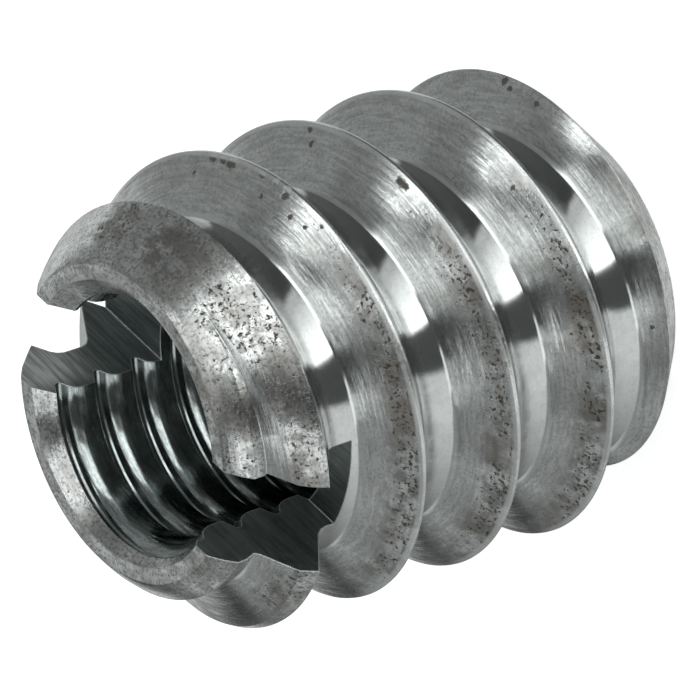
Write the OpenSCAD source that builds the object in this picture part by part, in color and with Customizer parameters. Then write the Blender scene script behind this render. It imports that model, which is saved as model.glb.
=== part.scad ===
// Slotted threaded insert for wood, turned in one piece from free-cutting steel:
// a coarse right-hand thread outside, a fine bore inside and a driver slot at the top.

/* [Body] */
// Overall length, from the flat lower end to the slotted end
length = 12; // [8:0.5:30]
// Diameter of the flat ring at each end
end_face_d = 6.9; // [6.7:0.1:7.2]
// Diameter of the short plain collar at the slotted end
collar_d = 7.8; // [7.6:0.1:8.2]
// Height of that collar, with its taper down to the thread root
collar_h = 1.4; // [1:0.05:1.6]

/* [Wood thread] */
// Diameter over the thread crests
crest_d = 10; // [9:0.1:12]
// Diameter at the thread root
root_d = 7.5; // [7.3:0.1:7.7]
// Distance from one crest to the next
pitch = 2.5; // [2.2:0.1:4]
// Angle between the flank that faces the slotted end and a square cross-section
upper_flank_angle = 30; // [20:1:36]
// The same angle on the flank that faces the lower end
lower_flank_angle = 36; // [20:1:40]
// Width of the narrow flat along the crest
crest_flat = 0.08; // [0.05:0.01:0.2]
// Length of the bevel that eases each root corner
root_ease = 0.16; // [0.05:0.01:0.2]
// Height of the lowest crest above the lower end, on the +X side
crest_start = 0.42; // [0.1:0.01:2]
// Flat segments in one turn of the thread
turn_segments = 64; // [32:8:72]

/* [Lead-in at the slotted end] */
// Height over which the crests taper away
lead_in_h = 2.15; // [1.6:0.05:3]
// Height of the steeper part next to the end face
nose_h = 0.7; // [0.4:0.05:0.9]
// Diameter where the steeper part meets the easier one
nose_d = 8.2; // [8:0.1:8.6]

/* [Lower end] */
// Height of the 45 degree chamfer on the crests
chamfer_h = 1.55; // [1:0.05:2.5]

/* [Bore] */
// Bore diameter, at the crests of the fine inner thread
bore_d = 5.4; // [4.8:0.1:5.6]
// Mouth diameter of the countersink at each end
mouth_d = 6.2; // [5.8:0.1:6.4]
// Depth of the countersink
mouth_depth = 0.4; // [0.2:0.05:1]

/* [Driver slot] */
// Width of the slot
slot_w = 2.2; // [1.2:0.1:3]
// Depth of the slot below the slotted end
slot_depth = 3.1; // [1.5:0.1:4]

/* [Hidden] */
$fn = 96;
steel = "#8d9290";
eps = 0.01;
thread_h = (crest_d - root_d) / 2;
least_root = 0.1;
// Height left for the two flanks; a deep thread has both made steeper alike to fit it.
flank_room = pitch - crest_flat - 2 * root_ease - least_root;
flank_share = min(1, flank_room / thread_h / (tan(upper_flank_angle) + tan(lower_flank_angle)));
upper_angle = atan(flank_share * tan(upper_flank_angle));
lower_angle = atan(flank_share * tan(lower_flank_angle));
// Heights at which the root corners would be sharp.
root_from = thread_h * tan(upper_angle);
root_to = pitch - crest_flat - thread_h * tan(lower_angle);

// One period of the thread section as [radius, height], from a crest's upper edge upwards.
thread_section = [
    [crest_d / 2, 0],
    [root_d / 2 + root_ease * cos(upper_angle), root_from - root_ease * sin(upper_angle)],
    [root_d / 2, root_from + root_ease],
    [root_d / 2, root_to - root_ease],
    [root_d / 2 + root_ease * cos(lower_angle), root_to + root_ease * sin(lower_angle)],
    [crest_d / 2, pitch - crest_flat],
];
period = len(thread_section);
section_turns = ceil(length / pitch) + 3;
// Rows of points on the seam column, which runs one turn further than the others.
seam_rows = section_turns * period;
rows = seam_rows - period;
first_z = crest_start - 2 * pitch;

// Radius and height of point k, counted up the whole stack of thread sections.
function section_r(k) = thread_section[k % period][0];
function section_z(k) = first_z + thread_section[k % period][1] + pitch * floor(k / period);

// Point k of column i, which stands at its own angle and climbs with the helix.
function helix_point(i, k) =
    let (a = 360 * i / turn_segments)
    [section_r(k) * cos(a), section_r(k) * sin(a), section_z(k) + pitch * i / turn_segments];

// Position of a point in the list: the seam column first, then the others.
function index(i, k) = i == 0 ? k : seam_rows + 1 + (i - 1) * (rows + 1) + k;
// The column after the last one is the seam column, one period further up.
function next_index(i, k) = i == turn_segments - 1 ? index(0, k + period) : index(i + 1, k);

// Closed rod with the coarse thread on it, longer than the insert at both ends.
module threaded_rod() {
    points = concat(
        [for (k = [0 : seam_rows]) helix_point(0, k)],
        [for (i = [1 : turn_segments - 1], k = [0 : rows]) helix_point(i, k)],
        [[0, 0, section_z(0) + pitch / 2], [0, 0, section_z(rows) + pitch / 2]]
    );
    low_centre = len(points) - 2;
    high_centre = len(points) - 1;
    side = [for (i = [0 : turn_segments - 1], k = [0 : rows - 1])
        each [
            [index(i, k), index(i, k + 1), next_index(i, k + 1)],
            [index(i, k), next_index(i, k + 1), next_index(i, k)],
        ]];
    low_cap = concat(
        [for (i = [0 : turn_segments - 1]) [low_centre, index(i, 0), next_index(i, 0)]],
        [for (k = [0 : period - 1]) [low_centre, k + 1, k]]
    );
    high_cap = concat(
        [for (i = [0 : turn_segments - 1]) [high_centre, next_index(i, rows), index(i, rows)]],
        [for (k = [rows : seam_rows - 1]) [high_centre, k, k + 1]]
    );
    polyhedron(points = points, faces = concat(side, low_cap, high_cap));
}

// Plain collar that fills the first groove at the slotted end and tapers down to its root.
module collar() {
    rotate_extrude()
        polygon([
            [0, length - collar_h],
            [root_d / 2 - 0.1, length - collar_h],
            [collar_d / 2, length - collar_h / 2],
            [collar_d / 2, length + 1],
            [0, length + 1],
        ]);
}

// Turned outline of the whole blank: flat ends, a chamfer below and the lead-in above.
module blank() {
    rotate_extrude()
        polygon([
            [0, 0],
            [end_face_d / 2, 0],
            [crest_d / 2 + eps, chamfer_h + eps],
            [crest_d / 2 + eps, length - lead_in_h],
            [nose_d / 2, length - nose_h],
            [end_face_d / 2, length],
            [0, length],
        ]);
}

// Through bore with a countersink at each end.
module bore() {
    translate([0, 0, -1]) cylinder(d = bore_d, h = length + 2);
    for (end = [0, 1])
        translate([0, 0, end * length]) mirror([0, 0, end])
            translate([0, 0, -eps])
                cylinder(d1 = mouth_d, d2 = bore_d, h = mouth_depth + eps);
}

// Driver slot straight across the upper end.
module slot() {
    translate([-crest_d, -slot_w / 2, length - slot_depth])
        cube([2 * crest_d, slot_w, slot_depth + 1]);
}

module insert() {
    color(steel)
        difference() {
            intersection() {
                union() {
                    threaded_rod();
                    collar();
                }
                blank();
            }
            bore();
            slot();
        }
}

insert();
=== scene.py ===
"""Slotted threaded insert for wood, turned from bare free-cutting steel.

The insert stands upright on its plain end, with its axis along Z. One detailed
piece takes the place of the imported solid: coarse wood thread, tapped M6 bore,
lead-in, chamfers and driver slot. Modelling is done in millimetres and the
finished mesh is brought to metres at the end.
"""
from __future__ import annotations

import logging
import math
from dataclasses import dataclass, field
from enum import Enum
from typing import Any, Iterable, NamedTuple, Sequence

import bpy
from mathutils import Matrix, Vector

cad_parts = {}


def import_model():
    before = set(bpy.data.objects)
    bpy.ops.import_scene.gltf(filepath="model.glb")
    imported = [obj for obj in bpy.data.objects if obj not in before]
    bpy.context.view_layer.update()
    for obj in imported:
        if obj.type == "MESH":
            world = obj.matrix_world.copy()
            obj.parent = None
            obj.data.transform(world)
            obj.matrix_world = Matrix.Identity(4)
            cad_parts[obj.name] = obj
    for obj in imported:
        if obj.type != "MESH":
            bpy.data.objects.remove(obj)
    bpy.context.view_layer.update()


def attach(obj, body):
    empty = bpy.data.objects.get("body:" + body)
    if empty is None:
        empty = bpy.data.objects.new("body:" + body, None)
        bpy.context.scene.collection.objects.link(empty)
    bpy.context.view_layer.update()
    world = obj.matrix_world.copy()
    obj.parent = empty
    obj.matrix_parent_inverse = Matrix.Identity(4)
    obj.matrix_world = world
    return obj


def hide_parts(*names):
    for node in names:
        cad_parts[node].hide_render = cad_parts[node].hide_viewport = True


log = logging.getLogger("threaded_insert")

Point = tuple[float, float]
Span = tuple[float, float]
NodeSetting = Any

MM = 0.001
# Turns wound beyond the length of the insert, half of them below it.
SPARE_TURNS = 4
# Distances in mm below which the points of a tool, and of the whole mesh, are welded.
TOOL_WELD = 1e-4
MESH_WELD = 2e-4
# Length in mm below which an edge of the finished mesh is dissolved.
SHORTEST_EDGE = 1e-4


class Region(Enum):
    """The areas of the insert that were cut in different ways, by material name."""

    THREAD = "turned_steel_thread"
    LEAD_IN = "turned_steel_lead_in"
    BORE = "tapped_steel_bore"
    SLOT = "milled_steel_slot"


# --------------------------------------------------------------------------
# Mesh helpers
# --------------------------------------------------------------------------


def object_mode() -> None:
    """Leave edit mode if it is on."""
    if bpy.context.object and bpy.context.object.mode != "OBJECT":
        bpy.ops.object.mode_set(mode="OBJECT")


def make_active(piece: bpy.types.Object) -> None:
    """Select one object alone and make it active.

    Args:
        piece: The object that is selected.
    """
    object_mode()
    bpy.ops.object.select_all(action="DESELECT")
    piece.select_set(True)
    bpy.context.view_layer.objects.active = piece


def edit_all(piece: bpy.types.Object) -> None:
    """Enter edit mode with the whole mesh selected.

    Args:
        piece: The object that is edited.
    """
    make_active(piece)
    bpy.ops.object.mode_set(mode="EDIT")
    bpy.ops.mesh.select_all(action="SELECT")


def face_outwards() -> None:
    """Turn all faces of the edited mesh outwards and leave edit mode."""
    bpy.ops.mesh.select_all(action="SELECT")
    bpy.ops.mesh.normals_make_consistent(inside=False)
    object_mode()


def apply_modifier(piece: bpy.types.Object, kind: str, **settings: Any) -> None:
    """Add a modifier, set it up and apply it.

    Args:
        piece: The object that is shaped.
        kind: Blender's name of the modifier type.
        **settings: Values for the modifier's properties.
    """
    make_active(piece)
    modifier = piece.modifiers.new(kind.title(), kind)
    for name, value in settings.items():
        setattr(modifier, name, value)
    bpy.ops.object.modifier_apply(modifier=modifier.name)


def extruded_line(name: str, points: Sequence[Point]) -> bpy.types.Object:
    """Draw a section line in the XZ plane by extruding one vertex from point to point.

    Args:
        name: Name of the new object.
        points: Radius and height of each corner, in millimetres.

    Returns:
        The object that holds the line.
    """
    object_mode()
    bpy.ops.object.select_all(action="DESELECT")
    bpy.ops.mesh.primitive_plane_add(size=0.1, location=(0, 0, 0))
    line = bpy.context.object
    line.name = name
    line.data.name = name
    bpy.ops.object.mode_set(mode="EDIT")
    bpy.ops.mesh.select_all(action="SELECT")
    bpy.ops.mesh.merge(type="CENTER")
    place = (points[0][0], 0.0, points[0][1])
    bpy.ops.transform.translate(value=place)
    for (r0, z0), (r1, z1) in zip(points, points[1:]):
        step = (r1 - r0, 0.0, z1 - z0)
        bpy.ops.mesh.extrude_vertices_move(TRANSFORM_OT_translate={"value": step})
    object_mode()
    return line


def threaded_rod(name: str, section: Sequence[Point], pitch: float, start: float,
                 length: float, overhang: float, steps: int) -> bpy.types.Object:
    """Wind one pitch of a thread section into a closed right-hand rod.

    Args:
        name: Name of the new object.
        section: One pitch of the section, from its lower to its upper end.
        pitch: Distance from crest to crest.
        start: Height at which the section starts on the +X side.
        length: Length of the insert.
        overhang: Length by which the rod stands out at both ends.
        steps: Facets in one turn.

    Returns:
        The closed rod, cut off square at both ends.
    """
    below = SPARE_TURNS // 2 * pitch
    turns = math.ceil(length / pitch) + SPARE_TURNS
    rod = extruded_line(name, [(r, z + start - below) for r, z in section])
    apply_modifier(rod, "SCREW", axis="Z", angle=math.tau, screw_offset=pitch,
                   iterations=turns, steps=steps, render_steps=steps,
                   use_normal_calculate=True)
    edit_all(rod)
    bpy.ops.mesh.remove_doubles(threshold=TOOL_WELD)
    bpy.ops.mesh.bisect(plane_co=(0, 0, -overhang), plane_no=(0, 0, 1),
                        use_fill=True, clear_inner=True)
    bpy.ops.mesh.select_all(action="SELECT")
    bpy.ops.mesh.bisect(plane_co=(0, 0, length + overhang), plane_no=(0, 0, 1),
                        use_fill=True, clear_outer=True)
    face_outwards()
    return rod


def spun_solid(name: str, outline: Sequence[Point], steps: int) -> bpy.types.Object:
    """Spin an outline that starts and ends on the axis into a closed solid.

    Args:
        name: Name of the new object.
        outline: Radius and height of each corner, both ends at radius 0.
        steps: Facets in the full circle.

    Returns:
        The closed solid.
    """
    solid = extruded_line(name, outline)
    apply_modifier(solid, "SCREW", axis="Z", angle=math.tau, screw_offset=0.0,
                   iterations=1, steps=steps, render_steps=steps,
                   use_merge_vertices=True, use_normal_calculate=True)
    edit_all(solid)
    bpy.ops.mesh.remove_doubles(threshold=TOOL_WELD)
    face_outwards()
    return solid


def give_region(piece: bpy.types.Object, region: Region) -> None:
    """Give all faces of a piece the material of one region."""
    piece.data.materials.clear()
    piece.data.materials.append(bpy.data.materials[region.value])


def combine(piece: bpy.types.Object, tool: bpy.types.Object, operation: str) -> None:
    """Join, cut or intersect a piece with a tool and remove the tool.

    Args:
        piece: The object that is changed.
        tool: The other solid, whose faces keep their own material.
        operation: UNION, DIFFERENCE or INTERSECT.
    """
    apply_modifier(piece, "BOOLEAN", object=tool, operation=operation,
                   solver="EXACT", material_mode="TRANSFER")
    mesh = tool.data
    bpy.data.objects.remove(tool)
    bpy.data.meshes.remove(mesh)


# --------------------------------------------------------------------------
# The insert
# --------------------------------------------------------------------------


@dataclass
class WoodThread:
    """Coarse right-hand outer thread, a little steeper on the flank that faces up."""

    crest_d: float = 10.0
    root_d: float = 7.5
    pitch: float = 2.5
    upper_flank_deg: float = 30.0
    lower_flank_deg: float = 36.0
    crest_flat: float = 0.08
    crest_round: float = 0.03
    root_ease: float = 0.16
    crest_start: float = 0.42
    overhang: float = 1.0
    steps: int = 192

    def section(self) -> list[Point]:
        """Work out one pitch of the section, from a crest's upper edge upwards.

        Returns:
            Radius and height of each corner.
        """
        upper = math.radians(self.upper_flank_deg)
        lower = math.radians(self.lower_flank_deg)
        crest, root = self.crest_d / 2, self.root_d / 2
        edge = self.pitch - self.crest_flat
        root_from = (crest - root) * math.tan(upper)
        root_to = edge - (crest - root) * math.tan(lower)
        # Each crest corner is taken off in two steps, each root corner bent in two.
        soft, ease = self.crest_round, self.root_ease
        shoulder, drop = soft * 0.3, soft * 0.5
        bend_in, bend_up = ease * 0.27, ease * 0.15
        return [
            (crest - shoulder, 0.0),
            (crest - soft, drop),
            (root + ease * math.cos(upper), root_from - ease * math.sin(upper)),
            (root + bend_in, root_from + bend_up),
            (root, root_from + ease),
            (root, (root_from + root_to) / 2),
            (root, root_to - ease),
            (root + bend_in, root_to - bend_up),
            (root + ease * math.cos(lower), root_to + ease * math.sin(lower)),
            (crest - soft, edge - drop),
            (crest - shoulder, edge),
            (crest, edge + self.crest_flat / 2),
            (crest - shoulder, self.pitch),
        ]

    def build(self, length: float) -> bpy.types.Object:
        """Wind the threaded rod, a little longer than the insert at both ends.

        Args:
            length: Overall length of the insert.

        Returns:
            The rod.
        """
        rod = threaded_rod("thread_rod", self.section(), self.pitch, self.crest_start,
                           length, self.overhang, self.steps)
        give_region(rod, Region.THREAD)
        return rod


@dataclass
class Blank:
    """Turned outline: flat ends, chamfer below, rounded lead-in above.

    Each round point stands out from a corner by its two values, outwards and down.
    """

    length: float = 12.0
    end_face_d: float = 6.9
    collar_d: float = 7.8
    collar_h: float = 1.4
    collar_below: float = 0.2
    collar_above: float = 0.5
    collar_sunk: float = 0.1
    lead_in_h: float = 2.15
    lead_in_round: Point = (0.52, 0.7)
    nose_h: float = 0.7
    nose_d: float = 8.2
    nose_round: Point = (0.28, 0.25)
    rim_round: Point = (0.04, 0.03)
    rim_in: float = 0.02
    chamfer_h: float = 1.55
    crest_d: float = 10.0
    clearance: float = 0.01
    steps: int = 192

    def build(self) -> bpy.types.Object:
        """Spin the outline that trims the crests at both ends.

        Returns:
            The blank.
        """
        crest = self.crest_d / 2 + self.clearance
        nose, rim = self.nose_d / 2, self.end_face_d / 2
        top = self.length
        outline = [
            (0, 0),
            (rim, 0),
            (crest, self.chamfer_h),
            (crest, top - self.lead_in_h),
            (nose + self.lead_in_round[0], top - self.nose_h - self.lead_in_round[1]),
            (nose, top - self.nose_h),
            (rim + self.nose_round[0], top - self.nose_round[1]),
            (rim + self.rim_round[0], top - self.rim_round[1]),
            (rim - self.rim_in, top),
            (0, top),
        ]
        blank = spun_solid("blank", outline, self.steps)
        give_region(blank, Region.LEAD_IN)
        return blank

    def build_collar(self, root_d: float) -> bpy.types.Object:
        """Spin the short collar that fills the first groove.

        Args:
            root_d: Diameter of the thread's root, which the collar reaches into.

        Returns:
            The collar.
        """
        inner, foot = root_d / 2 - self.collar_sunk, self.length - self.collar_h
        outline = [
            (0, foot - self.collar_below),
            (inner, foot - self.collar_below),
            (inner, foot),
            (self.collar_d / 2, self.length - self.collar_h / 2),
            (self.collar_d / 2, self.length + self.collar_above),
            (0, self.length + self.collar_above),
        ]
        collar = spun_solid("collar", outline, self.steps)
        give_region(collar, Region.LEAD_IN)
        return collar


@dataclass
class TappedBore:
    """Through bore with an M6 x 1 thread and a countersink at each end.

    The ridges are rounded at their upper corner. Each countersink's cone runs on past
    its mouth and its depth, so that it shares no flat face with what it cuts.
    """

    minor_d: float = 5.4
    major_d: float = 6.0
    pitch: float = 1.0
    mouth_d: float = 6.2
    mouth_depth: float = 0.4
    sink_out: float = 0.4
    sink_in: float = 0.2
    ridge_flat: float = 0.53
    ridge_ease: float = 0.3
    ease_share: float = 0.6
    ease_parts: int = 4
    groove_flat: float = 0.12
    groove_soft: Point = (0.03, 0.02)
    start: float = 0.08
    overhang: float = 0.6
    steps: int = 128

    def section(self) -> list[Point]:
        """Work out one pitch of the cutting tool's section, from a ridge upwards.

        Returns:
            Radius and height of each corner.
        """
        low, high = self.minor_d / 2, self.major_d / 2
        side = (self.pitch - self.ridge_flat - self.groove_flat) / 2
        soft_in, soft_up = self.groove_soft
        groove = self.ridge_flat + side
        # The curve runs from the ridge's flat over this share of the flank.
        share = self.ease_share
        curve = [(low + t * t * share * (high - low),
                  self.ridge_flat - (1 - t) ** 2 * self.ridge_ease
                  + t * t * share * side)
                 for t in (part / self.ease_parts
                           for part in range(self.ease_parts + 1))]
        return [
            (low, 0.0),
            *curve,
            (high - soft_in, groove - soft_up),
            (high, groove + soft_up),
            (high, groove + self.groove_flat - soft_up),
            (high - soft_in, groove + self.groove_flat + soft_up),
            (low, self.pitch),
        ]

    def build(self, length: float) -> bpy.types.Object:
        """Wind the tap-shaped tool and join the two countersinks to it.

        Args:
            length: Overall length of the insert.

        Returns:
            The tool that cuts the whole bore.
        """
        tool = threaded_rod("bore_tool", self.section(), self.pitch, self.start,
                            length, self.overhang, self.steps)
        give_region(tool, Region.BORE)
        for name, end, inwards in (("sink_low", 0.0, 1.0), ("sink_high", length, -1.0)):
            combine(tool, self._countersink(name, end, inwards), "UNION")
        return tool

    def _countersink(self, name: str, end: float, inwards: float) -> bpy.types.Object:
        """Spin the cone that opens one end of the bore.

        Args:
            name: Name of the new object.
            end: Height of that end.
            inwards: +1 where the insert lies above the end, -1 where it lies below.

        Returns:
            The cone, a little longer than the countersink at both ends.
        """
        mouth, minor = self.mouth_d / 2, self.minor_d / 2
        slope = (mouth - minor) / self.mouth_depth
        outer = end - inwards * self.sink_out
        inner = end + inwards * (self.mouth_depth + self.sink_in)
        cone = spun_solid(name, [
            (0, outer),
            (mouth + slope * self.sink_out, outer),
            (minor - slope * self.sink_in, inner),
            (0, inner),
        ], self.steps)
        give_region(cone, Region.LEAD_IN)
        return cone


@dataclass
class DriverSlot:
    """Slot straight across the upper end."""

    width: float = 2.2
    depth: float = 3.1
    above: float = 2.0

    def build(self, length: float, reach: float) -> bpy.types.Object:
        """Add the milling tool's path as a block at the upper end.

        Args:
            length: Overall length of the insert.
            reach: How far the path runs to either side of the axis.

        Returns:
            The block.
        """
        object_mode()
        bpy.ops.object.select_all(action="DESELECT")
        bpy.ops.mesh.primitive_cube_add(
            size=1.0, location=(0, 0, length - self.depth / 2 + self.above / 2),
            scale=(reach * 2, self.width, self.depth + self.above))
        tool = bpy.context.object
        tool.name = "slot_tool"
        bpy.ops.object.transform_apply(location=True, rotation=True, scale=True)
        give_region(tool, Region.SLOT)
        return tool


@dataclass
class ThreadedInsert:
    """The whole insert, built as one closed mesh."""

    thread: WoodThread = field(default_factory=WoodThread)
    blank: Blank = field(default_factory=Blank)
    bore: TappedBore = field(default_factory=TappedBore)
    slot: DriverSlot = field(default_factory=DriverSlot)
    sharp_deg: float = 24.0

    def build(self) -> bpy.types.Object:
        """Cut the insert from its blank and bring it to metres.

        Returns:
            The finished object, at the origin.
        """
        body = self.thread.build(self.blank.length)
        combine(body, self.blank.build_collar(self.thread.root_d), "UNION")
        combine(body, self.blank.build(), "INTERSECT")
        combine(body, self.bore.build(self.blank.length), "DIFFERENCE")
        combine(body, self.slot.build(self.blank.length, self.thread.crest_d),
                "DIFFERENCE")
        body.name = body.data.name = "insert_body"
        self._finish(body)
        return body

    def _finish(self, body: bpy.types.Object) -> None:
        """Clean the mesh, scale it to metres and smooth its shading.

        Args:
            body: The insert, cut to shape in millimetres.
        """
        edit_all(body)
        bpy.ops.mesh.remove_doubles(threshold=MESH_WELD)
        bpy.ops.mesh.dissolve_degenerate(threshold=SHORTEST_EDGE)
        face_outwards()
        body.scale = (MM, MM, MM)
        make_active(body)
        bpy.ops.object.transform_apply(location=True, rotation=True, scale=True)
        bpy.ops.object.shade_smooth_by_angle(angle=math.radians(self.sharp_deg))


# --------------------------------------------------------------------------
# Finishes
# --------------------------------------------------------------------------


def linear(colour: str) -> tuple[float, float, float, float]:
    """Turn an sRGB hex colour into a linear one.

    Args:
        colour: The colour as "#rrggbb".

    Returns:
        Its red, green, blue and alpha.
    """
    channels = [int(colour.lstrip("#")[i:i + 2], 16) / 255 for i in (0, 2, 4)]
    values = [c / 12.92 if c <= 0.04045 else ((c + 0.055) / 1.055) ** 2.4
              for c in channels]
    return (values[0], values[1], values[2], 1.0)


# Settings of the nodes that come up again and again.
PLUS = {"operation": "ADD"}
MINUS = {"operation": "SUBTRACT"}
TIMES = {"operation": "MULTIPLY"}
OVER = {"operation": "DIVIDE"}
MOST = {"operation": "MAXIMUM"}
SMOOTH = {"interpolation_type": "SMOOTHSTEP"}
COLOURS = {"data_type": "RGBA"}


class Nodes:
    """One node tree and the way in which nodes are added to it."""

    def __init__(self, tree: bpy.types.NodeTree) -> None:
        """Keep the tree and empty it."""
        self.tree = tree
        tree.nodes.clear()

    def add(self, kind: str, *values: NodeSetting,
            named: dict[str, NodeSetting] | None = None,
            **settings: Any) -> bpy.types.Node:
        """Add a node with its settings, input values and links.

        Args:
            kind: Blender's class name of the node, without ShaderNode.
            *values: Values for the inputs that its settings use, in their order. A
                socket is linked, and so is a node, by its first output in use.
            named: Values for inputs by name.
            **settings: Values for the node's own properties.

        Returns:
            The new node.
        """
        node = self.tree.nodes.new("ShaderNode" + kind)
        for name, value in settings.items():
            setattr(node, name, value)
        sockets = [socket for socket in node.inputs if socket.enabled]
        pairs = [*zip(sockets, values),
                 *((node.inputs[name], value) for name, value in (named or {}).items())]
        for socket, value in pairs:
            if isinstance(value, bpy.types.Node):
                value = next(output for output in value.outputs if output.enabled)
            if isinstance(value, bpy.types.NodeSocket):
                self.tree.links.new(value, socket)
            else:
                socket.default_value = value
        return node


class Cut(Enum):
    """The ways in which tool marks run."""

    HELICAL = "along the outer thread"
    ROUND = "round the axis"
    STRAIGHT = "along the driver slot"


class GrooveShape(NamedTuple):
    """A noise stretched along the cut, with its sizes as multiples of a groove's."""

    length: float
    width: float
    depth: float
    detail: float
    rough: float


FINE_GROOVES = GrooveShape(1.0, 1.0, 1.6, 3.0, 0.6)
WIDE_BANDS = GrooveShape(2.5, 4.0, 6.0, 2.0, 0.5)
# Radii in mm at which the marks round the lead-in and on the flanks keep their length.
LEAD_IN_RADIUS = 4.0
FLANK_RADIUS = 4.4
# Share of a turn that lays the stretched highlights across the tool marks.
QUARTER_TURN = 0.25


class Pattern(NamedTuple):
    """A noise over the steel: features in a mm, levels of detail and their weight."""

    per_mm: float
    detail: float
    rough: float


class Stain(NamedTuple):
    """A place where the steel is browned and pitted, by its middle and reach in mm."""

    middle: tuple[float, float, float]
    reach: float
    brown: float
    specks: float


class Mark(NamedTuple):
    """A single dark spot of rust, by its place and radius in mm."""

    x: float
    y: float
    z: float
    radius: float


@dataclass(frozen=True)
class Weathering:
    """How tool marks, rust, wear and painted light are drawn, alike on all regions.

    Lengths and radii are in mm. Each pair of levels, radii or turns holds the values
    at which an effect sets in and is complete. Tool marks and specks are drawn a
    little coarser than on real steel, so that they show.
    """

    patches: Pattern = Pattern(0.9, 3.0, 0.55)
    clusters: Pattern = Pattern(1.6, 2.0, 0.5)
    blots: Pattern = Pattern(1 / 0.34, 3.0, 0.6)
    flecks: Pattern = Pattern(1 / 0.07, 2.0, 0.6)

    streak_levels: Span = (0.38, 0.62)
    band_levels: Span = (0.3, 0.7)
    patch_levels: Span = (0.46, 0.66)
    cluster_levels: Span = (0.28, 0.48)
    stain_levels: Span = (0.34, 0.58)
    dull_levels: Span = (0.42, 0.58)
    fleck_levels: Span = (0.49, 0.63)

    root_radii: Span = (3.92, 3.82)
    root_marks: float = 0.15
    root_flecks: float = 0.3
    crest_radii: Span = (4.0, 4.7)
    off_crest: float = 0.8
    # The crest band is lightened: partly wear, partly a painted highlight along the
    # crest line.
    worn_and_highlight_radii: Span = (4.88, 4.95)
    worn_specks: float = 0.3
    worn_and_highlight_tint: float = 0.6
    # Turn of the eased normal over which the edges get their wear and painted
    # highlight.
    edge_turn: Span = (0.995, 0.93)

    rust_turn: Span = (0.3, 0.9)
    patch_core: float = 0.55
    patch_wander: float = 1.6
    dull_chance: float = 0.9
    dull_tint: float = 0.75
    speck_limits: Span = (0.78, 0.515)
    speck_edge: Span = (-0.02, 0.11)
    mark_depth: float = 0.9
    speck_pit: float = 0.2
    speck_metal: float = 0.25

    band_roughness: Span = (0.85, 1.2)
    rust_roughness: float = 0.62
    stain_roughness: float = 0.6
    dull_roughness: float = 0.5
    streak_height: float = 0.5

    # Painted light: the slot wall is made paler and less metallic towards its outer end
    # and top, where it stands open to the light.
    painted_light_fade: float = 0.8
    painted_light_wall: Span = (-0.9, -1.05)
    painted_light_depths: Span = (2.2, 1.1)
    painted_light_metal: float = 0.35


@dataclass(frozen=True)
class SteelFinish:
    """Bare free-cutting steel, marked by the tool that cut it and by storage.

    Tool marks are fine grooves that run with the cut, so they stretch highlights
    across themselves. Specks are small brown spots where the oil film broke.
    """

    region: Region
    base: str = "#e1e3e2"
    streak: str = "#cbcdcc"
    speck: str = "#4b4138"
    stain: str = "#7d7168"
    # Colour of worn crests and edges, which is partly a painted highlight.
    worn_and_highlight: str = "#f2f4f2"
    dull: str = "#83817d"
    # Colours of the painted light on the slot wall.
    painted_light_pale: str = "#c9cbc8"
    painted_light_streak: str = "#8f918e"
    # Eased edges, lightened partly by wear and partly as a painted highlight.
    edge_mm: float = 0.035
    edge_wear_and_highlight: float = 0.5
    roughness: float = 0.17
    root_roughness: float = 0.12
    anisotropy: float = 0.8
    cut: Cut = Cut.ROUND
    groove_mm: float = 0.055
    groove_length_mm: float = 0.6
    groove_depth_mm: float = 0.011
    speck_mm: float = 0.09
    speck_amount: float = 1.0
    crest_bias: float = 1.0
    rust_azimuth: float = 15.0
    rust_bias: float = 0.75
    brown: float = 0.75
    mottle: float = 0.35
    grain: float = 0.3
    # X from which the slot wall gets painted light; None for no painted light.
    painted_light_from: float | None = None
    stains: tuple[Stain, ...] = ()
    marks: tuple[Mark, ...] = ()
    weathering: Weathering = Weathering()


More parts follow.
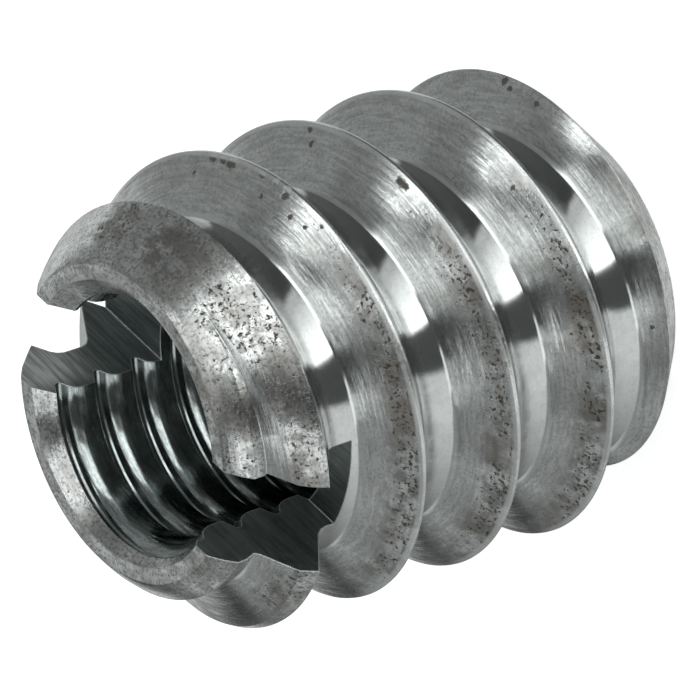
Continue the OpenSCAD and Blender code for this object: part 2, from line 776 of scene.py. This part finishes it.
class SteelShader:
    """The node tree of one steel finish, built layer upon layer."""

    def __init__(self, finish: SteelFinish, thread: WoodThread, length: float) -> None:
        """Start the material and find where its points lie on the insert.

        Args:
            finish: The look that is built.
            thread: Sizes of the outer thread, which the tool marks follow.
            length: Overall length of the insert, in millimetres.
        """
        self.finish = finish
        self.thread = thread
        self.length = length
        self.material = bpy.data.materials.new(finish.region.value)
        self.material.use_nodes = True
        self.nodes = Nodes(self.material.node_tree)
        add = self.nodes.add
        metres = add("TexCoord").outputs["Object"]
        self.place = add("VectorMath", metres, (1 / MM, 1 / MM, 1 / MM), **TIMES)
        self.x, self.y, self.z = add("SeparateXYZ", self.place).outputs
        squares = [add("Math", side, side, **TIMES) for side in (self.x, self.y)]
        self.radius = add("Math", add("Math", *squares, **PLUS), operation="SQRT")
        self.angle = add("Math", self.y, self.x, operation="ARCTAN2")
        # 1 at the root of the outer thread, where the tool left a smoother surface.
        self.root: NodeSetting = 0.0
        if finish.cut is Cut.HELICAL:
            self.root = add("MapRange", self.radius, *finish.weathering.root_radii,
                            **SMOOTH)

    def build(self) -> bpy.types.Material:
        """Lay the layers over each other and join them in one shader.

        Returns:
            The material, named for its region.
        """
        finish, w, add = self.finish, self.finish.weathering, self.nodes.add
        streaks, bands = self._tool_marks()
        streaked = add("MapRange", streaks, *w.streak_levels, **SMOOTH)
        faint = add("Math", streaked, add("Mix", self.root, 1.0, w.root_marks), **TIMES)
        colour = add("Mix", faint, linear(finish.base), linear(finish.streak),
                     **COLOURS)

        patches = add("TexNoise", self.place, *w.patches)
        blots = add("TexNoise", self.place, *w.blots)
        stain, chance = self._rust(patches, blots)
        dull = self._dull(chance, blots)
        # Crest band: worn, and partly a painted highlight along the crest line.
        worn_and_highlight = add("MapRange", self.radius, *w.worn_and_highlight_radii, **SMOOTH)
        speck = self._specks(chance, worn_and_highlight)
        normal, worn_and_highlit_edges = self._edges()
        layers = (
            (add("Math", stain, finish.brown, **TIMES), finish.stain),
            (add("Math", dull, w.dull_tint, **TIMES), finish.dull),
            (self._flecks(), finish.dull),
            (speck, finish.speck),
            (add("Math", worn_and_highlight, w.worn_and_highlight_tint, **TIMES), finish.worn_and_highlight),
            # Edges: partly worn bright, partly a painted highlight.
            (worn_and_highlit_edges, finish.worn_and_highlight),
        )
        for share, tint in layers:
            colour = add("Mix", share, colour, linear(tint), **COLOURS)
        metal = add("Mix", speck, 1.0, w.speck_metal)
        # Painted light: the outer, upper part of the slot wall is made paler and less
        # metallic.
        if finish.painted_light_from is not None:
            painted_light_mask = self._painted_light_zone(finish.painted_light_from)
            pale = add("Mix", streaked, linear(finish.painted_light_pale),
                       linear(finish.painted_light_streak), **COLOURS)
            colour = add("Mix", painted_light_mask, colour, pale, **COLOURS)
            metal = add("Mix", painted_light_mask, metal, w.painted_light_metal)

        shader = add("BsdfPrincipled", named={
            "Base Color": colour, "Metallic": metal,
            "Roughness": self._roughness(bands, speck, stain, dull),
            "Anisotropic": finish.anisotropy, "Anisotropic Rotation": QUARTER_TURN,
            "Normal": self._relief(streaks, bands, speck, normal),
            "Tangent": add("Tangent", direction_type="RADIAL", axis="Z"),
        })
        add("OutputMaterial", shader)
        return self.material

    def _directions(self) -> tuple[NodeSetting, NodeSetting]:
        """Measure along and across the tool marks.

        Returns:
            Both distances in millimetres.
        """
        add, cut, thread = self.nodes.add, self.finish.cut, self.thread
        if cut is Cut.STRAIGHT:
            return self.x, add("Math", self.y, self.z, **PLUS)
        turn = add("Math", self.angle, math.tau, **OVER)
        if cut is Cut.ROUND:
            return add("Math", turn, math.tau * LEAD_IN_RADIUS, **TIMES), self.z
        height = add("Math", self.z, thread.crest_start, **MINUS)
        rise = add("Math", add("Math", height, thread.pitch, **OVER), turn, **MINUS)
        whole = add("Math", rise, operation="FLOOR")
        turns = add("Math", turn, whole, **PLUS)
        part = add("Math", rise, whole, **MINUS)
        return (add("Math", turns, math.tau * FLANK_RADIUS, **TIMES),
                add("Math", part, thread.pitch, **TIMES))

    def _tool_marks(self) -> tuple[NodeSetting, NodeSetting]:
        """Stretch noise along the cut.

        Returns:
            The noise of the fine grooves and that of the wider bands.
        """
        finish, add = self.finish, self.nodes.add
        along, across = self._directions()
        depth = 0.0 if finish.cut is Cut.STRAIGHT else self.radius
        noises = []
        for shape in (FINE_GROOVES, WIDE_BANDS):
            sides = ((along, finish.groove_length_mm * shape.length),
                     (across, finish.groove_mm * shape.width),
                     (depth, finish.groove_mm * shape.depth))
            stretched = [add("Math", side, size, **OVER) for side, size in sides]
            noises.append(add("TexNoise", add("CombineXYZ", *stretched), 1.0,
                              shape.detail, shape.rough))
        return noises[0], noises[1]

    def _patch(self, middle: Sequence[float], reach: float, uneven: NodeSetting,
               strength: float = 1.0) -> NodeSetting:
        """Draw a patch that fades out at an uneven edge.

        Args:
            middle: Place of its middle, in millimetres.
            reach: Its radius.
            uneven: Noise that makes its edge wander.
            strength: Value in its middle.

        Returns:
            The patch's value, 0 outside its reach.
        """
        add, w = self.nodes.add, self.finish.weathering
        away = add("VectorMath", self.place, middle, operation="DISTANCE")
        wander = add("Math", add("Math", uneven, 0.5, **MINUS), reach * w.patch_wander,
                     **TIMES)
        edge = add("Math", away, wander, **PLUS)
        return add("MapRange", edge, reach * w.patch_core, reach, strength, 0.0,
                   **SMOOTH)

    def _rust(self, patches: NodeSetting,
              blots: NodeSetting) -> tuple[NodeSetting, NodeSetting]:
        """Spread rust over the rusty side, the crests and the stains.

        Args:
            patches: Noise of the wide patches.
            blots: Noise of the smaller blots.

        Returns:
            How brown the steel is, and how likely specks are on it.
        """
        finish, w, add = self.finish, self.finish.weathering, self.nodes.add
        turned = add("Math", self.angle, math.radians(finish.rust_azimuth), **MINUS)
        rusty_side = add("MapRange", add("Math", turned, operation="COSINE"),
                         *w.rust_turn, 1.0 - finish.rust_bias, 1.0, **SMOOTH)
        near_crest = add("MapRange", self.radius, *w.crest_radii, **SMOOTH)
        crest = add("Mix", finish.crest_bias, w.off_crest, near_crest)
        bias = add("Math", rusty_side, crest, **TIMES)
        clusters = add("TexNoise", self.place, *w.clusters)
        stain = add("Math", add("MapRange", patches, *w.patch_levels, **SMOOTH), bias,
                    **TIMES)
        chance = add("Math", add("MapRange", clusters, *w.cluster_levels, **SMOOTH),
                     bias, **TIMES)
        for place in finish.stains:
            inside = self._patch(place.middle, place.reach, patches)
            blotted = add("MapRange", blots, *w.stain_levels, **SMOOTH)
            browned = add("Math", add("Math", inside, blotted, **TIMES), place.brown,
                          **TIMES)
            pitted = add("Math", inside, place.specks, **TIMES)
            stain = add("Math", stain, browned, **MOST)
            chance = add("Math", chance, pitted, **MOST)
        return stain, chance

    def _dull(self, chance: NodeSetting, blots: NodeSetting) -> NodeSetting:
        """Cloud the steel in blots, most where specks are likely.

        Args:
            chance: How likely specks are.
            blots: Noise of the blots.

        Returns:
            How dull the steel is.
        """
        finish, w, add = self.finish, self.finish.weathering, self.nodes.add
        likely = add("Math", chance, w.dull_chance, **TIMES)
        return add("Math", add("MapRange", blots, *w.dull_levels, **SMOOTH),
                   add("Math", likely, finish.mottle, **MOST), **TIMES)

    def _flecks(self) -> NodeSetting:
        """Draw the fine grey grain, fainter at the thread's root.

        Returns:
            How grey the grain makes the steel.
        """
        finish, w, add = self.finish, self.finish.weathering, self.nodes.add
        noise = add("TexNoise", self.place, *w.flecks)
        grain = add("Math", finish.grain, add("Mix", self.root, 1.0, w.root_flecks),
                    **TIMES)
        return add("Math", add("MapRange", noise, *w.fleck_levels, **SMOOTH), grain,
                   **TIMES)

    def _specks(self, chance: NodeSetting, worn_and_highlight: NodeSetting) -> NodeSetting:
        """Draw the dark specks and the single marks.

        Args:
            chance: How likely specks are.
            worn_and_highlight: How worn the crest is, which wears specks away.

        Returns:
            How dark the specks make the steel.
        """
        finish, w, add = self.finish, self.finish.weathering, self.nodes.add
        spots = add("TexNoise", self.place,
                    *Pattern(1.0 / finish.speck_mm, detail=2.0, rough=0.6))
        limit = add("Mix", add("Math", chance, finish.speck_amount, **TIMES),
                    *w.speck_limits)
        speck = add("MapRange", add("Math", spots, limit, **MINUS), *w.speck_edge,
                    **SMOOTH)
        for mark in finish.marks:
            spot = self._patch(mark[:3], mark.radius, spots, w.mark_depth)
            speck = add("Math", speck, spot, **MOST)
        return add("Math", speck, add("Mix", worn_and_highlight, 1.0, w.worn_specks), **TIMES)

    def _edges(self) -> tuple[NodeSetting, NodeSetting]:
        """Ease the sharp edges, and make them worn bright with a painted highlight.

        Returns:
            The eased normal, and how much wear and painted highlight lighten the edges.
        """
        finish, w, add = self.finish, self.finish.weathering, self.nodes.add
        eased = add("Bevel", finish.edge_mm * MM, samples=4)
        flat = add("NewGeometry").outputs["Normal"]
        turned = add("VectorMath", eased, flat, operation="DOT_PRODUCT")
        bright = add("MapRange", turned, *w.edge_turn, **SMOOTH)
        return eased, add("Math", bright, finish.edge_wear_and_highlight, **TIMES)

    def _painted_light_zone(self, painted_light_from: float) -> NodeSetting:
        """Paint light onto the outer, upper part of the slot's wall, which stands open
        to the light.

        Args:
            painted_light_from: X from which the wall is painted lighter.

        Returns:
            How much painted light the wall gets.
        """
        w, add = self.finish.weathering, self.nodes.add
        outwards = add("MapRange", self.x, painted_light_from, painted_light_from - w.painted_light_fade, **SMOOTH)
        on_wall = add("MapRange", self.y, *w.painted_light_wall, **SMOOTH)
        upwards = add("MapRange", self.z,
                      *(self.length - depth for depth in w.painted_light_depths), **SMOOTH)
        return add("Math", outwards, add("Math", on_wall, upwards, **TIMES), **TIMES)

    def _roughness(self, bands: NodeSetting, speck: NodeSetting, stain: NodeSetting,
                   dull: NodeSetting) -> NodeSetting:
        """Make the steel smoothest at the thread's root and roughest on rust.

        Args:
            bands: Noise of the wide bands of the cut.
            speck: How dark the specks are.
            stain: How brown the steel is.
            dull: How dull it is.

        Returns:
            The roughness.
        """
        finish, w, add = self.finish, self.finish.weathering, self.nodes.add
        browned = add("Math", stain, w.stain_roughness, **TIMES)
        dulled = add("Math", dull, w.dull_roughness, **TIMES)
        rusted = add("Math", speck, add("Math", browned, dulled, **MOST), **MOST)
        banded = add("Mix", add("MapRange", bands, *w.band_levels, **SMOOTH),
                     *(finish.roughness * share for share in w.band_roughness))
        turned = add("Mix", self.root, banded, finish.root_roughness)
        return add("Mix", rusted, turned, w.rust_roughness)

    def _relief(self, streaks: NodeSetting, bands: NodeSetting, speck: NodeSetting,
                normal: NodeSetting) -> NodeSetting:
        """Press the grooves and the pits of the specks into the surface.

        Args:
            streaks: Noise of the fine grooves.
            bands: Noise of the wide bands.
            speck: How dark the specks are.
            normal: The normal, eased at sharp edges.

        Returns:
            The normal with its relief.
        """
        w, add = self.finish.weathering, self.nodes.add
        height = add("Math", add("Math", streaks, w.streak_height, **TIMES), bands,
                     **PLUS)
        height = add("Math", height, add("Mix", self.root, 1.0, w.root_marks), **TIMES)
        height = add("Math", height, add("Math", speck, w.speck_pit, **TIMES), **MINUS)
        return add("Bump", named={
            "Height": height, "Strength": 1.0, "Normal": normal,
            "Distance": self.finish.groove_depth_mm * MM,
        })


THREAD_MARKS = (
    Mark(-2.23, 4.38, 8.79, 0.16), Mark(-1.95, 4.49, 8.77, 0.13),
    Mark(-1.69, 4.57, 8.76, 0.17), Mark(-2.48, 3.87, 9.02, 0.07),
    Mark(-0.83, 4.84, 8.67, 0.11), Mark(-0.44, 4.93, 8.61, 0.10),
    Mark(-0.07, 4.95, 8.58, 0.13), Mark(-0.05, 4.83, 8.65, 0.12),
    Mark(-0.55, 4.53, 8.84, 0.08), Mark(0.33, 4.57, 8.75, 0.08),
    Mark(0.75, 4.59, 8.68, 0.06), Mark(1.07, 4.77, 8.52, 0.07),
    Mark(-1.90, 4.20, 6.44, 0.09), Mark(-2.14, 4.36, 6.31, 0.10),
    Mark(0.56, 4.81, 6.09, 0.15), Mark(0.72, 4.79, 6.07, 0.10),
    Mark(1.38, 4.42, 3.64, 0.08), Mark(-1.77, 4.33, 1.38, 0.12),
    Mark(-1.54, 4.31, 1.43, 0.10), Mark(-0.72, 4.46, 1.39, 0.09),
    Mark(3.74, 1.59, 1.12, 0.08),
)

LEAD_IN_STAINS = (
    Stain((-1.95, 3.6, 11.3), reach=0.8, brown=0.25, specks=1.0),
    Stain((0.0, 3.95, 11.4), reach=1.15, brown=0.9, specks=0.6),
    Stain((1.5, 3.8, 11.3), reach=0.9, brown=0.15, specks=0.9),
    Stain((2.3, 3.65, 10.95), reach=0.9, brown=0.1, specks=0.9),
    Stain((3.2, 2.7, 11.1), reach=0.95, brown=0.5, specks=0.6),
    Stain((4.1, 1.85, 10.7), reach=0.7, brown=0.2, specks=0.8),
    Stain((4.1, -1.9, 10.8), reach=0.9, brown=0.3, specks=0.8),
)

FINISHES = (
    # Turned along the helix: the grooves draw each highlight out across the flanks.
    SteelFinish(Region.THREAD, cut=Cut.HELICAL, groove_depth_mm=0.013, mottle=0.1,
                stains=(Stain((4.2, -2.1, 10.5), reach=0.9, brown=0.3, specks=0.8),),
                marks=THREAD_MARKS),
    # Turned round, and handled most: greyer, with brown stains and rust specks.
    SteelFinish(Region.LEAD_IN, roughness=0.18, anisotropy=0.7, crest_bias=0.1,
                rust_bias=0.4, brown=0.62, mottle=0.25, grain=0.7,
                stains=LEAD_IN_STAINS),
    # Tapped under oil and kept clean: its darker colour is painted shade inside the
    # bore, with small sharp highlights.
    SteelFinish(Region.BORE, base="#b9c0bf", streak="#979e9d", edge_wear_and_highlight=0.0,
                roughness=0.1, anisotropy=0.4, groove_depth_mm=0.006,
                speck_amount=0.2, crest_bias=0.0, brown=0.15, mottle=0.0),
    # Milled straight across: matt, with feed marks, edges worn bright with a painted
    # highlight, and painted light on the outer, upper part of one wall.
    SteelFinish(Region.SLOT, base="#929c9b", streak="#767f7e", edge_mm=0.05,
                edge_wear_and_highlight=0.9, roughness=0.42, cut=Cut.STRAIGHT, groove_mm=0.09,
                groove_length_mm=1.2, speck_amount=0.0, crest_bias=0.0, brown=0.1,
                mottle=0.0, painted_light_from=-2.3),
)


# --------------------------------------------------------------------------
# Studio
# --------------------------------------------------------------------------


@dataclass(frozen=True)
class Panel:
    """A light or dark card of the studio surround, by its directions in degrees."""

    name: str
    azimuth: Span
    elevation: Span
    level: float
    soft: Span = (3.0, 6.0)
    end_level: float | None = None


@dataclass
class Surround:
    """Plain studio surround: a grey room with soft light panels and dark flags."""

    base: float = 0.30
    tint: str = "#fbffff"
    panels: tuple[Panel, ...] = (
        Panel("pale_ground", (-180, 180), (-90, -5), 0.60, (0.1, 6)),
        Panel("ground_glow", (-180, 180), (-90, -58), 0.90, (0.1, 6)),
        Panel("left_wall_low", (-110, -20), (-60, 2), 0.12, (3, 12), 0.70),
        Panel("left_wall_end", (-20, 12), (-60, 2), 0.74, (0.1, 12)),
        Panel("left_wall_high", (-18, 13), (2, 59), 1.15, (3, 4)),
        Panel("side_fill", (-180, -150), (-40, 4), 0.75, (4, 6)),
        Panel("end_fill", (-152, -116), (26, 46), 0.52, (6, 6)),
        Panel("left_card", (-98, -62), (-6, 10), 0.52, (3, 3)),
        Panel("left_upper", (-91, -60), (28, 58), 0.40, (4, 5)),
        Panel("flag_left", (-140, -107), (-8, 14), 0.06, (3, 5)),
        Panel("flag_front", (14, 42), (-90, 64), 0.08, (2, 6)),
        Panel("window_low", (43, 80), (-90, 8), 2.2, (1.5, 4), 0.62),
        Panel("window_mid", (57, 106), (8, 56), 2.0, (4, 4)),
        Panel("window_high", (44, 88), (57, 70), 1.4, (4, 3)),
        Panel("flag_back", (88, 158), (-90, 6), 0.04, (2, 4), 0.12),
        Panel("flag_back_high", (116, 150), (6, 52), 0.21, (4, 4)),
        Panel("dark_gap", (-66, 0), (66, 80), 0.07, (8, 2)),
        Panel("overhead_patch", (123, 154), (61, 79), 3.5, (3, 2.5)),
        Panel("top", (-180, 180), (81, 90), 0.90, (0.1, 2)),
        Panel("top_glow", (-60, 82), (82, 90), 1.4, (6, 2)),
        Panel("gap_overhead", (84, 121), (65, 89), 0.06, (4, 2)),
    )

    def build(self) -> None:
        """Build the world: white to the camera, the surround to all other rays."""
        world = bpy.data.worlds.new("studio_surround")
        world.use_nodes = True
        nodes = Nodes(world.node_tree)
        direction = nodes.add("TexCoord").outputs["Generated"]
        x, y, z = nodes.add("SeparateXYZ", direction).outputs
        azimuth = nodes.add("Math", nodes.add("Math", y, x, operation="ARCTAN2"),
                            operation="DEGREES")
        elevation = nodes.add("Math", nodes.add("Math", z, operation="ARCSINE"),
                              operation="DEGREES")
        level: NodeSetting = self.base
        for panel in self.panels:
            level = self._hang(nodes, panel, azimuth, elevation, level)
        camera = nodes.add("LightPath").outputs["Is Camera Ray"]
        light = nodes.add("Background", linear(self.tint),
                          nodes.add("Mix", camera, level, 1.0))
        nodes.add("OutputWorld", light)
        bpy.context.scene.world = world

    def _hang(self, nodes: Nodes, panel: Panel, azimuth: NodeSetting,
              elevation: NodeSetting, below: NodeSetting) -> NodeSetting:
        """Lay one panel over the surround built so far.

        Args:
            nodes: The world's nodes.
            panel: The panel.
            azimuth: Each direction's azimuth, in degrees.
            elevation: Its elevation.
            below: Its level so far.

        Returns:
            The new level.
        """
        add = nodes.add
        mask: NodeSetting = 1.0
        spans = ((azimuth, panel.azimuth, panel.soft[0]),
                 (elevation, panel.elevation, panel.soft[1]))
        for angle, (low, high), soft in spans:
            rise = add("MapRange", angle, low - soft, low + soft, **SMOOTH)
            fall = add("MapRange", angle, high - soft, high + soft, 1.0, 0.0, **SMOOTH)
            mask = add("Math", mask, add("Math", rise, fall, **TIMES), **TIMES)
        level: NodeSetting = panel.level
        if panel.end_level is not None:
            level = add("MapRange", azimuth, *panel.azimuth, panel.level,
                        panel.end_level)
        return add("Mix", mask, below, level)


@dataclass
class Studio:
    """Floor, surround and camera."""

    floor_size: float = 2.0
    floor_colour: str = "#f4f5f4"
    floor_glow: float = 0.72
    camera_azimuth: float = 46.0
    camera_elevation: float = 34.19
    camera_roll: float = -108.49
    camera_distance: float = 0.26869
    camera_lens: float = 664.76
    camera_sensor: float = 36.0
    camera_clip: Span = (0.01, 10.0)
    aim: tuple[float, float, float] = (-0.000018, 0.000001, 0.006017)

    def build(self) -> None:
        """Lay the floor, hang the surround and set the camera."""
        self._floor()
        Surround().build()
        self._camera()

    def _floor(self) -> None:
        """Lay a plain pale floor under the insert, which keeps its shadow."""
        object_mode()
        bpy.ops.object.select_all(action="DESELECT")
        bpy.ops.mesh.primitive_plane_add(size=self.floor_size, location=(0, 0, 0))
        floor = bpy.context.object
        floor.name = "floor"
        material = bpy.data.materials.new("matt_white_card")
        material.use_nodes = True
        add = Nodes(material.node_tree).add
        rays = add("LightPath").outputs
        mirrored = add("Math", rays["Is Glossy Ray"], rays["Is Transmission Ray"],
                       **MOST)
        seen = add("Math", rays["Is Camera Ray"], mirrored, **MOST)
        card = add("BsdfDiffuse", linear(self.floor_colour))
        glow = add("Emission", linear("#ffffff"),
                   add("Math", seen, self.floor_glow, **TIMES))
        add("OutputMaterial", add("AddShader", card, glow))
        floor.data.materials.append(material)
        floor.visible_glossy = False
        floor.visible_shadow = False

    def _camera(self) -> None:
        """Aim a long lens down at the slotted end, rolled onto its side."""
        azimuth = math.radians(self.camera_azimuth)
        elevation = math.radians(self.camera_elevation)
        away = Vector((math.cos(elevation) * math.cos(azimuth),
                       math.cos(elevation) * math.sin(azimuth),
                       math.sin(elevation)))
        data = bpy.data.cameras.new("camera")
        camera = bpy.data.objects.new("camera", data)
        bpy.context.scene.collection.objects.link(camera)
        camera.location = Vector(self.aim) + away * self.camera_distance
        camera.rotation_euler = away.to_track_quat("Z", "Y").to_euler()
        camera.rotation_euler.rotate_axis("Z", math.radians(self.camera_roll))
        data.sensor_width = self.camera_sensor
        data.lens = self.camera_lens
        data.clip_start, data.clip_end = self.camera_clip
        bpy.context.scene.camera = camera


def main() -> None:
    """Load the frame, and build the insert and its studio."""
    logging.basicConfig(level=logging.INFO, format="%(name)s: %(message)s")
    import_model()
    insert = ThreadedInsert()
    for finish in FINISHES:
        SteelShader(finish, insert.thread, insert.blank.length).build()
    piece = insert.build()
    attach(piece, "root")
    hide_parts("insert")
    log.info("%s: %d faces", piece.name, len(piece.data.polygons))
    Studio().build()
    bpy.context.scene.view_settings.view_transform = "Standard"


if __name__ == "__main__":
    main()
